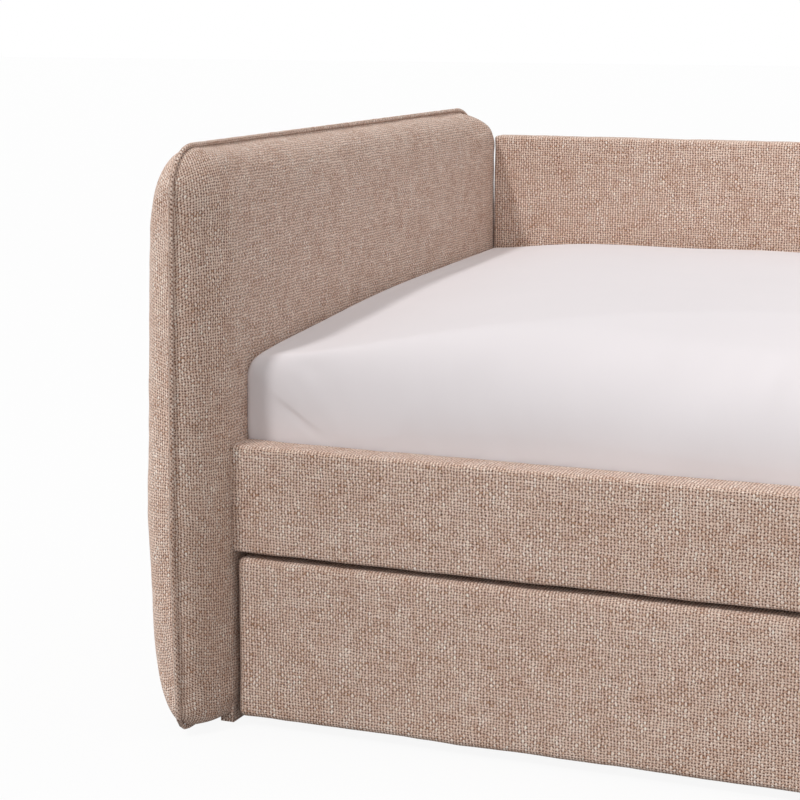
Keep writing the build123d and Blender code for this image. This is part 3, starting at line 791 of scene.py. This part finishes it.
def bed_skin(extra, close_start):
    """Top, rolled edges and sides of the mattress in one skin.

    Towards each arm the top falls as a Gaussian, deepest and widest at the front corners. In front
    of a line that swings back from each front corner it slopes evenly to the front roll. Each edge
    rolls over a quarter ellipse; where two rolls meet, their drops add as equal powers.
    """
    low, high = bed_low - extra, bed_high + extra
    under_height, top_height = bed_low[2], bed_high[2] + extra
    x, left_drop, right_drop = rolled_places(
        low[0], high[0], END_ROLL[0], END_ROLL[0], BED_COUNTS[0]
    )
    from_end = np.minimum(x - low[0], high[0] - x)
    depth, height = (
        middle + (end - middle) * np.exp(-((from_end / reach) ** 2))[:, None]
        for middle, end, reach in zip(FRONT_ROLL, CORNER_ROLL, CORNER_REACH)
    )
    y, front_drop, rear_drop = rolled_places(low[1], high[1], depth, REAR_ROLL[0], BED_COUNTS[1])
    x = np.repeat(x[:, None], y.shape[1], 1)
    ends = END_ROLL[1] * (left_drop + right_drop)[:, None] + 0 * y
    sides = height * front_drop + REAR_ROLL[1] * rear_drop
    back_share = (y - low[1]) / (high[1] - low[1])
    reach = PULL_REACH[0] + (PULL_REACH[1] - PULL_REACH[0]) * back_share
    pull = CORNER_PULL * np.exp(-((from_end[:, None] / reach) ** 2) - (y - low[1]) / PULL_REACH[2])
    swing = SLOPE_REACH[1] * (1 - np.exp(-((from_end / SLOPE_REACH[2]) ** 3)))[:, None]
    before_line = (SLOPE_REACH[0] + swing - (y - low[1])) / SLOPE_EDGE
    pull += FRONT_SLOPE * SLOPE_EDGE * np.logaddexp(0, before_line)
    half, middle = (high - low) / 2, (high + low) / 2
    crown = BED_CROWN * (((x - middle[0]) / half[0]) ** 2 + ((y - middle[1]) / half[1]) ** 2) / 2
    z = top_height - crown - pull - (ends**ROLL_POWER + sides**ROLL_POWER) ** (1 / ROLL_POWER)
    aside = half[:2] - np.abs(np.stack([x, y], -1) - middle[:2])
    into = np.maximum(1 - aside / BED_CORNER, 0)
    shrink = into.max(-1) / np.maximum(np.linalg.norm(into, axis=-1), 1e-9)
    shrink = np.where((into > 0).all(-1), shrink, 1)
    moved = BED_CORNER * into * (1 - shrink[..., None])
    x = x - np.sign(x - middle[0]) * moved[..., 0]
    y = y - np.sign(y - middle[1]) * moved[..., 1]
    row, column = RUN_PLACES
    run_x = np.cumsum(np.hypot(np.diff(x[:, column]), np.diff(z[:, column])))
    run_y = np.cumsum(np.hypot(np.diff(y[row]), np.diff(z[row])))
    cloth = np.stack(np.meshgrid([0, *run_x], [0, *run_y], indexing="ij"), -1)
    top = np.concatenate([np.stack([x, y, z], -1), cloth], -1)
    rim = np.concatenate([top[:-1, 0], top[-1, :-1], top[:0:-1, -1], top[0, :0:-1]])
    n, m = top.shape[0] - 1, top.shape[1] - 1
    outward = np.zeros((len(rim), 2))
    outward[:n, 1], outward[n : n + m, 0] = -1, 1
    outward[n + m : 2 * n + m, 1], outward[2 * n + m :, 0] = 1, -1
    shares = np.concatenate([np.linspace(1, 0.12, 12), 0.12 * np.linspace(0.75, 0, 4)])
    rings = []
    for turn in np.linspace(math.pi / 2, 0.3, 5):
        ring = rim.copy()
        draw = BOTTOM_ROLL[0] * (1 - math.cos(turn))
        ring[:, :2] -= np.sign(rim[:, :2] - middle[:2]) * draw
        ring[:, 2] = under_height + BOTTOM_ROLL[1] * (1 - math.sin(turn))
        rings.append(ring)
    start = under_height + BOTTOM_ROLL[1]
    for share in shares[:-1]:
        ring = rim.copy()
        ring[:, 2] = start + (rim[:, 2] - start) * (1 - share)
        rings.append(ring)
    rings.append(rim)
    for ring in rings[:-1]:
        ring[:, 3:] += outward * (rim[:, 2:3] - ring[:, 2:3])
    return ring_form(rings, n, m, close_start, top)


def sheet_folds(points):
    """Pulls from the corners and along the front edge, as a height along the normal at each point.

    A fold's height falls off as a Gaussian of the distance to its line, and to nothing at its ends.
    """
    folds = 0.0006 * soft_noise(points * (1.0, 0.5, 1.0), 0.22, 51)
    folds += 0.0002 * soft_noise(points, 0.07, 52)
    near_front = np.exp(-(((points[:, 1] - bed_low[1]) / 0.12) ** 2))
    slanted = points @ np.array([[0.88, 0.0], [-0.30, 0.16], [0.36, 0.20]])
    folds += 0.0007 * near_front * soft_noise(slanted, 0.034, 53, 14)
    for start, end, width, fold_height in SHEET_FOLDS:
        start, line = np.array(start), np.subtract(end, start)
        share = np.clip((points - start) @ line / (line @ line), 0, 1)
        away = np.linalg.norm(points - start - share[:, None] * line, axis=1)
        fade = np.sin(math.pi * (0.08 + 0.84 * share)) ** 0.7
        folds += fold_height * np.exp(-((away / width) ** 2)) * fade
    return folds[:, None]


def fitted_sheet():
    """Stretched cotton over the mattress."""
    points, faces = bed_skin(SHEET_THICKNESS, False)
    points, uv = points[:, :3], points[:, 3:]
    piece = new_piece("cotton_sheet", points, faces, uv, SHEETING, "mattress")
    set_points(piece.data, points + point_normals(piece.data) * sheet_folds(points))
    smooth = piece.modifiers.new("smooth", "SUBSURF")
    smooth.levels = smooth.render_levels = 1
    corners = points[faces]
    diagonals = np.cross(corners[:, 2] - corners[:, 0], corners[:, 3] - corners[:, 1])
    area = float(np.linalg.norm(diagonals, axis=1).sum() / 2)
    flat = tuple(float(size) for size in np.ptp(uv, axis=0)[::-1])
    area = min(area, flat[0] * flat[1])
    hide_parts("fitted_sheet")
    return piece


def mattress_body():
    """Closed knit-covered block under the sheet."""
    points, faces = bed_skin(-SHEET_THICKNESS, True)
    points, uv = points[:, :3], points[:, 3:]
    piece = new_piece("mattress_body", points, faces, uv, KNIT, "mattress")
    set_points(piece.data, points + point_normals(piece.data) * sheet_folds(points))
    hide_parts("mattress")
    return piece


fitted_sheet()
mattress_body()


# Finishes of the pieces kept from the frame
def dress_nodes():
    """Each kept piece gets its slot's finish, wood with the grain along its length."""
    slots = {part["node"]: part["material_slot"] for part in frame["record"]["subparts"]}
    for node, piece in frame["nodes"].items():
        slot = slots[node]
        if slot == "tweed":
            material = TWEED_BOARD
        elif slot in ("frame_pine", "slat_pine"):
            low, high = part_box(node)
            sizes = [high[a] - low[a] for a in range(3)]
            along = 1 if slot == "slat_pine" else sizes.index(max(sizes))
            material = WOOD[along]
        else:
            material = FINISHES.get(slot)
        if material is not None:
            piece.data.materials.clear()
            piece.data.materials.append(material)


dress_nodes()


# Studio
def studio():
    """Pale floor, white surroundings for the camera, three far lamps and a soft box overhead."""
    bpy.ops.mesh.primitive_plane_add(size=60, location=(0, 0, 0))
    floor = bpy.context.object
    floor.name = "studio_floor"
    g = Graph(bpy.data.materials.new("pale_floor"))
    emit = g.tree.nodes.new("ShaderNodeEmission")
    emit.inputs["Color"].default_value = (1, 1, 1, 1)
    emit.inputs["Strength"].default_value = FLOOR_GLOW
    mix = g.tree.nodes.new("ShaderNodeMixShader")
    g.finish(FLOOR_GREY, 0.9)
    g.put(mix.inputs[0], g.math("MULTIPLY", g.seen(), FLOOR_GLOW_SHARE))
    g.put(mix.inputs[1], g.shader.outputs[0])
    g.put(mix.inputs[2], emit.outputs[0])
    g.put(g.tree.nodes["Material Output"].inputs["Surface"], mix.outputs[0])
    floor.data.materials.append(g.owner)

    world = bpy.data.worlds.new("white_room")
    bpy.context.scene.world = world
    room = Graph(world)
    room.put(room.shader.inputs["Color"], (1.0, 1.0, 1.0))
    light = room.math("MULTIPLY_ADD", room.seen(), 1 - WORLD_STRENGTH, WORLD_STRENGTH)
    room.put(room.shader.inputs["Strength"], light)

    for name, energy, angle, travel in LAMPS:
        lamp = bpy.data.objects.new(name, bpy.data.lights.new(name, "SUN"))
        lamp.data.energy = energy
        lamp.data.angle = math.radians(angle)
        back_x, back_y, back_z = (-part / math.dist(travel, (0, 0, 0)) for part in travel)
        lamp.rotation_euler = (math.acos(back_z), 0, math.atan2(back_y, back_x) + math.pi / 2)
        bpy.context.scene.collection.objects.link(lamp)
    box = bpy.data.objects.new("soft_box", bpy.data.lights.new("soft_box", "AREA"))
    box.data.energy, box.data.size, box.location = SOFT_BOX
    bpy.context.scene.collection.objects.link(box)


def camera():
    """The photograph's camera: turned from +Y towards -X and tipped down."""
    data = bpy.data.cameras.new("photo_camera")
    data.sensor_width = SENSOR
    data.lens = FOCAL_PIXELS * SENSOR / PHOTO_PIXELS
    data.clip_start, data.clip_end = 0.05, 100
    holder = bpy.data.objects.new("photo_camera", data)
    holder.location = CAMERA_PLACE
    holder.rotation_euler = (math.radians(90 - CAMERA_DROP), 0, math.radians(CAMERA_TURN))
    bpy.context.scene.collection.objects.link(holder)
    bpy.context.scene.camera = holder


studio()
camera()
bpy.context.scene.view_settings.view_transform = "Standard"
